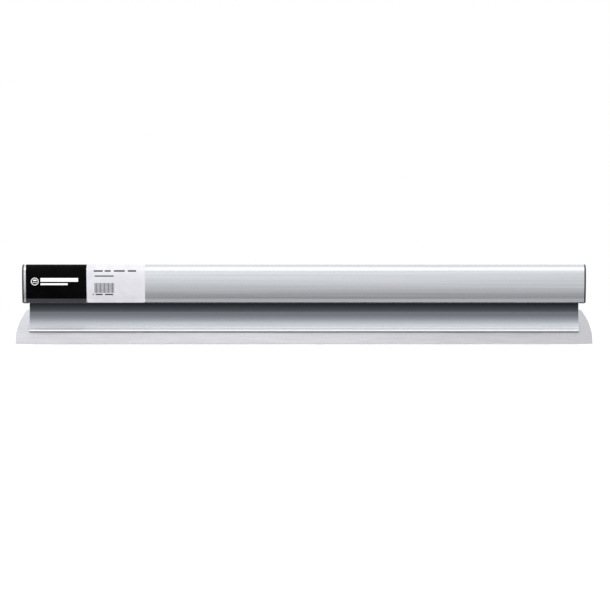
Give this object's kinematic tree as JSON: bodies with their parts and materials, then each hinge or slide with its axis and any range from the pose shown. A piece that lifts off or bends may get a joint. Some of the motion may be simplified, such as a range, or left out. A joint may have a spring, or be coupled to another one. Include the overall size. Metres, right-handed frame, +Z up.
{
  "type": "skimming blade",
  "caption": "Wide plasterer's skimming blade: a thin steel blade clamped in a coved aluminium holder under an egg-shaped grip with end caps.",
  "frame": {"origin": "at the height of the blade's working edge, under the middle of the grip", "axes": "+X along the blade, to the right when facing the finger cove; -Y the front, with the finger cove; +Y the back, with the clamp strip; +Z up from the working edge to the top of the grip"},
  "size_m": [1, 0.0326, 0.1378],
  "materials": {
    "satin_aluminium": "extruded aluminium, satin clear anodised",
    "grey_aluminium": "extruded aluminium, grey anodised, a little rougher than the grip",
    "spring_steel": "rolled stainless spring steel with a fine grain along the blade",
    "black_plastic": "moulded black plastic with a fine texture",
    "screw_steel": "zinc-plated steel",
    "black_vinyl": "gloss black vinyl label",
    "white_vinyl": "white coated paper label with a slight sheen"
  },
  "bodies": {
    "handle": {"grip_profile": "satin_aluminium", "blade_holder": "grey_aluminium", "square_nut_01": "screw_steel", "square_nut_02": "screw_steel", "square_nut_03": "screw_steel", "square_nut_04": "screw_steel", "square_nut_05": "screw_steel", "square_nut_06": "screw_steel", "square_nut_07": "screw_steel", "square_nut_08": "screw_steel", "square_nut_09": "screw_steel", "square_nut_10": "screw_steel", "label_dark": "black_vinyl", "label_white": "white_vinyl"},
    "blade": {"blade": "spring_steel"},
    "clamp": {"clamp_strip": "grey_aluminium"},
    "clamp_screw_01": {"clamp_screw_01": "screw_steel"},
    "clamp_screw_02": {"clamp_screw_02": "screw_steel"},
    "clamp_screw_03": {"clamp_screw_03": "screw_steel"},
    "clamp_screw_04": {"clamp_screw_04": "screw_steel"},
    "clamp_screw_05": {"clamp_screw_05": "screw_steel"},
    "clamp_screw_06": {"clamp_screw_06": "screw_steel"},
    "clamp_screw_07": {"clamp_screw_07": "screw_steel"},
    "clamp_screw_08": {"clamp_screw_08": "screw_steel"},
    "clamp_screw_09": {"clamp_screw_09": "screw_steel"},
    "clamp_screw_10": {"clamp_screw_10": "screw_steel"},
    "cap_left": {"end_cap_left": "black_plastic"},
    "cap_right": {"end_cap_right": "black_plastic"},
    "cap_screw_left": {"cap_screw_left": "screw_steel"},
    "cap_screw_right": {"cap_screw_right": "screw_steel"}
  },
  "joints": [
    {"name": "blade_draw", "type": "slide", "parent": "handle", "child": "blade", "axis": [0, 0, -1], "range_m": [0, 0.04]},
    {"name": "clamp_release", "type": "slide", "parent": "handle", "child": "clamp", "axis": [0, 1, 0], "range_m": [0, 0.0014]},
    {"name": "clamp_screw_01_turn", "type": "hinge", "parent": "clamp", "child": "clamp_screw_01", "pos_m": [-0.45, 0.0086, 0.034], "axis": [0, 1, 0], "range_deg": [0, 720]},
    {"name": "clamp_screw_02_turn", "type": "hinge", "parent": "clamp", "child": "clamp_screw_02", "pos_m": [-0.35, 0.0086, 0.034], "axis": [0, 1, 0], "range_deg": [0, 720]},
    {"name": "clamp_screw_03_turn", "type": "hinge", "parent": "clamp", "child": "clamp_screw_03", "pos_m": [-0.25, 0.0086, 0.034], "axis": [0, 1, 0], "range_deg": [0, 720]},
    {"name": "clamp_screw_04_turn", "type": "hinge", "parent": "clamp", "child": "clamp_screw_04", "pos_m": [-0.15, 0.0086, 0.034], "axis": [0, 1, 0], "range_deg": [0, 720]},
    {"name": "clamp_screw_05_turn", "type": "hinge", "parent": "clamp", "child": "clamp_screw_05", "pos_m": [-0.05, 0.0086, 0.034], "axis": [0, 1, 0], "range_deg": [0, 720]},
    {"name": "clamp_screw_06_turn", "type": "hinge", "parent": "clamp", "child": "clamp_screw_06", "pos_m": [0.05, 0.0086, 0.034], "axis": [0, 1, 0], "range_deg": [0, 720]},
    {"name": "clamp_screw_07_turn", "type": "hinge", "parent": "clamp", "child": "clamp_screw_07", "pos_m": [0.15, 0.0086, 0.034], "axis": [0, 1, 0], "range_deg": [0, 720]},
    {"name": "clamp_screw_08_turn", "type": "hinge", "parent": "clamp", "child": "clamp_screw_08", "pos_m": [0.25, 0.0086, 0.034], "axis": [0, 1, 0], "range_deg": [0, 720]},
    {"name": "clamp_screw_09_turn", "type": "hinge", "parent": "clamp", "child": "clamp_screw_09", "pos_m": [0.35, 0.0086, 0.034], "axis": [0, 1, 0], "range_deg": [0, 720]},
    {"name": "clamp_screw_10_turn", "type": "hinge", "parent": "clamp", "child": "clamp_screw_10", "pos_m": [0.45, 0.0086, 0.034], "axis": [0, 1, 0], "range_deg": [0, 720]},
    {"name": "cap_left_pull", "type": "slide", "parent": "handle", "child": "cap_left", "axis": [-1, 0, 0], "range_m": [0, 0.03]},
    {"name": "cap_screw_left_out", "type": "slide", "parent": "cap_left", "child": "cap_screw_left", "axis": [-1, 0, 0], "range_m": [0, 0.015]},
    {"name": "cap_right_pull", "type": "slide", "parent": "handle", "child": "cap_right", "axis": [1, 0, 0], "range_m": [0, 0.03]},
    {"name": "cap_screw_right_out", "type": "slide", "parent": "cap_right", "child": "cap_screw_right", "axis": [1, 0, 0], "range_m": [0, 0.015]}
  ],
  "couplings": [
    {"joint": "clamp_screw_01_turn", "follows": "clamp_release", "rad_per_m": 8976},
    {"joint": "clamp_screw_02_turn", "follows": "clamp_release", "rad_per_m": 8976},
    {"joint": "clamp_screw_03_turn", "follows": "clamp_release", "rad_per_m": 8976},
    {"joint": "clamp_screw_04_turn", "follows": "clamp_release", "rad_per_m": 8976},
    {"joint": "clamp_screw_05_turn", "follows": "clamp_release", "rad_per_m": 8976},
    {"joint": "clamp_screw_06_turn", "follows": "clamp_release", "rad_per_m": 8976},
    {"joint": "clamp_screw_07_turn", "follows": "clamp_release", "rad_per_m": 8976},
    {"joint": "clamp_screw_08_turn", "follows": "clamp_release", "rad_per_m": 8976},
    {"joint": "clamp_screw_09_turn", "follows": "clamp_release", "rad_per_m": 8976},
    {"joint": "clamp_screw_10_turn", "follows": "clamp_release", "rad_per_m": 8976}
  ]
}
